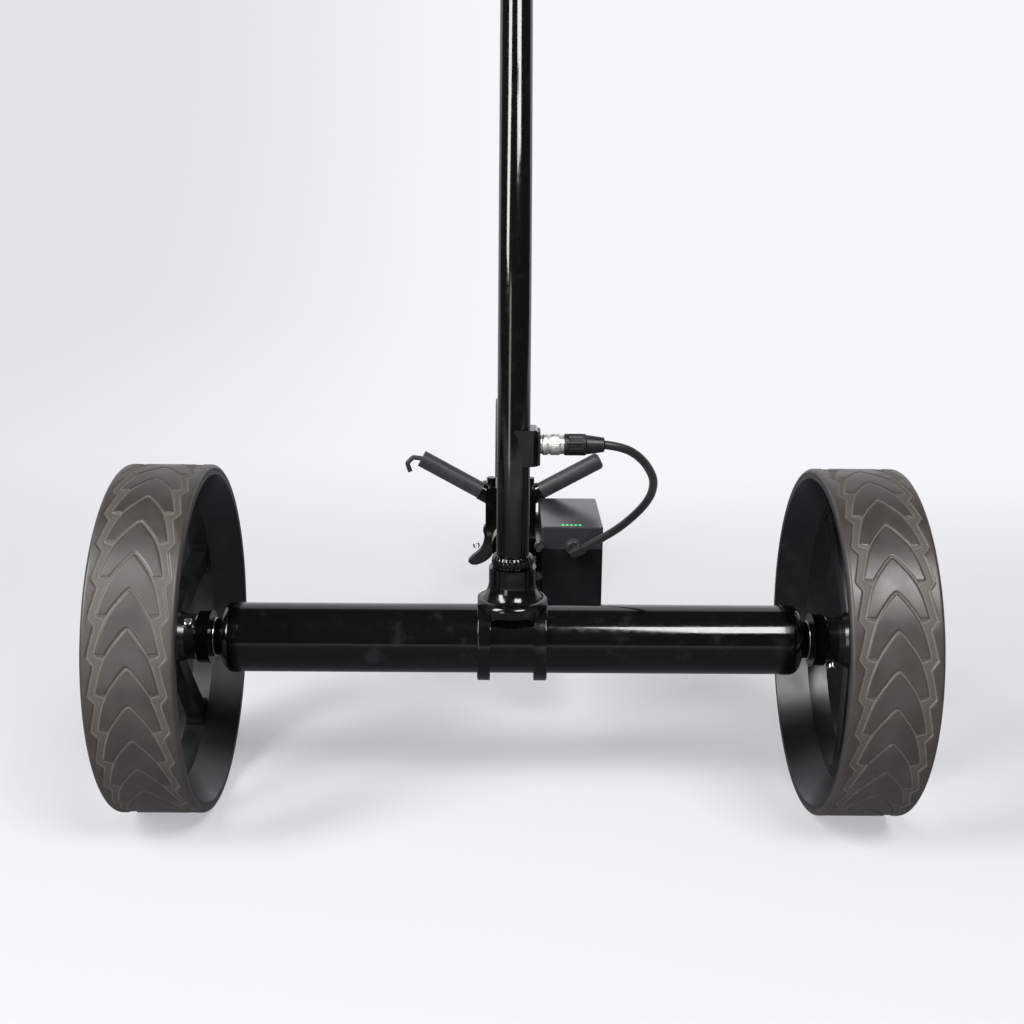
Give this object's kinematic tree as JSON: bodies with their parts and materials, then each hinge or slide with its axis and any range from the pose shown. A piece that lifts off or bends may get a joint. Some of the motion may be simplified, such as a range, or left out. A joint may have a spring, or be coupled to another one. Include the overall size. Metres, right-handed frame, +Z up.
{
  "type": "electric golf trolley",
  "caption": "Three-wheeled electric golf trolley: thick cross axle with two spoked drive wheels, leaning upright, bag rests, side battery with cable, folding handle.",
  "frame": {"origin": "on the ground under the middle of the overall bounding box: midway between the outer wheel faces, and midway between the back of the grips and the front of the front tyre", "axes": "+X to the right of the golfer who walks behind, +Y forward towards the front wheel, +Z up"},
  "size_m": [0.6626, 1.081, 1.0337],
  "materials": {
    "gloss_black_paint": "gloss powder coat over aluminium tube",
    "cast_black_paint": "gloss paint over an aluminium casting",
    "black_nylon": "fine matte moulding",
    "rim_plastic": "satin black moulding",
    "tyre_rubber": "dark warm grey solid rubber",
    "grey_rubber": "soft matte rubber",
    "cable_rubber": "satin cable jacket",
    "nickel": "nickel plated",
    "bright_steel": "turned steel",
    "aluminium": "satin aluminium",
    "battery_plastic": "fine textured moulding",
    "battery_lid_plastic": "fine textured moulding, lighter",
    "cell_wrap": "shrink wrapped cells",
    "core_steel": "laminated steel and copper",
    "green_light": "lit green indicator"
  },
  "bodies": {
    "frame": {"axle_tube": "gloss_black_paint", "left_end_cap": "black_nylon", "right_end_cap": "black_nylon", "left_motor_housing": "aluminium", "right_motor_housing": "aluminium", "output_bearings": "bright_steel", "motor_controller": "black_nylon", "axle_bracket": "cast_black_paint", "upright_collar": "black_nylon", "frame_screws": "bright_steel", "upright_tube": "gloss_black_paint", "lower_tube": "gloss_black_paint", "front_fork": "gloss_black_paint", "front_axle": "bright_steel", "socket_housing": "black_nylon", "panel_socket": "black_nylon", "cable_plug": "nickel", "plug_boot": "black_nylon", "battery_cable": "cable_rubber", "battery_case": "battery_plastic", "battery_lid": "battery_lid_plastic", "battery_lights": "green_light", "battery_cells": "cell_wrap", "battery_gland": "black_nylon", "battery_tray": "cast_black_paint", "bag_rest_saddle": "cast_black_paint", "left_rest_sleeve": "grey_rubber", "right_rest_sleeve": "grey_rubber", "strap_hook": "grey_rubber", "fold_bracket": "cast_black_paint", "upper_rest_yoke": "gloss_black_paint", "upper_rest_pads": "grey_rubber"},
    "left_wheel": {"left_tyre": "tyre_rubber", "left_rim": "rim_plastic", "left_spokes": "rim_plastic", "left_hub_collar": "black_nylon", "left_output_shaft": "bright_steel"},
    "right_wheel": {"right_tyre": "tyre_rubber", "right_rim": "rim_plastic", "right_spokes": "rim_plastic", "right_hub_collar": "black_nylon", "right_output_shaft": "bright_steel"},
    "left_pin": {"left_release_pin": "nickel"},
    "right_pin": {"right_release_pin": "nickel"},
    "left_rotor": {"left_armature": "core_steel"},
    "right_rotor": {"right_armature": "core_steel"},
    "front_wheel": {"front_tyre": "tyre_rubber", "front_rim": "rim_plastic", "front_bearings": "bright_steel"},
    "rest_lever": {"rest_clamp_lever": "black_nylon"},
    "handle": {"fold_knuckle": "cast_black_paint", "upper_tube": "gloss_black_paint", "handle_bar": "gloss_black_paint", "left_grip": "grey_rubber", "right_grip": "grey_rubber", "console_body": "black_nylon", "console_cover": "black_nylon"},
    "fold_lever": {"fold_clamp_lever": "black_nylon"},
    "dial": {"speed_dial": "black_nylon"},
    "button": {"power_button": "aluminium"}
  },
  "joints": [
    {"name": "left_wheel_spin", "type": "hinge", "parent": "frame", "child": "left_wheel", "pos_m": [-0.295, -0.2345, 0.15], "axis": [1, 0, 0], "continuous": true},
    {"name": "right_wheel_spin", "type": "hinge", "parent": "frame", "child": "right_wheel", "pos_m": [0.295, -0.2345, 0.15], "axis": [1, 0, 0], "continuous": true},
    {"name": "left_rotor_spin", "type": "hinge", "parent": "frame", "child": "left_rotor", "pos_m": [-0.105, -0.2345, 0.15], "axis": [1, 0, 0], "continuous": true},
    {"name": "right_rotor_spin", "type": "hinge", "parent": "frame", "child": "right_rotor", "pos_m": [0.105, -0.2345, 0.15], "axis": [1, 0, 0], "continuous": true},
    {"name": "left_pin_pull", "type": "slide", "parent": "left_wheel", "child": "left_pin", "axis": [0, -0.6293, 0.7771], "range_m": [0, 0.005], "stiffness_N_per_m": 400},
    {"name": "right_pin_pull", "type": "slide", "parent": "right_wheel", "child": "right_pin", "axis": [0, -0.5446, -0.8387], "range_m": [0, 0.005], "stiffness_N_per_m": 400},
    {"name": "front_wheel_spin", "type": "hinge", "parent": "frame", "child": "front_wheel", "pos_m": [0, 0.4155, 0.125], "axis": [1, 0, 0], "continuous": true},
    {"name": "rest_lever_swing", "type": "hinge", "parent": "frame", "child": "rest_lever", "pos_m": [-0.022, 0.0155, 0.178], "axis": [0, 1, 0], "range_deg": [0, 80]},
    {"name": "handle_fold", "type": "hinge", "parent": "frame", "child": "handle", "pos_m": [0, -0.08432, 0.80005], "axis": [1, 0, 0], "range_deg": [-180, 0]},
    {"name": "fold_lever_swing", "type": "hinge", "parent": "frame", "child": "fold_lever", "pos_m": [0, -0.10936, 0.81016], "axis": [1, 0, 0], "range_deg": [-110, 0]},
    {"name": "speed_dial_turn", "type": "hinge", "parent": "handle", "child": "dial", "pos_m": [0, -0.4625, 1.02625], "axis": [0, 0, -1], "range_deg": [0, 270]},
    {"name": "power_button_press", "type": "slide", "parent": "handle", "child": "button", "axis": [0, 0, -1], "range_m": [0, 0.0015], "stiffness_N_per_m": 500}
  ],
  "couplings": [
    {"joint": "left_rotor_spin", "follows": "left_wheel_spin", "ratio": 17},
    {"joint": "right_rotor_spin", "follows": "right_wheel_spin", "ratio": 17}
  ]
}
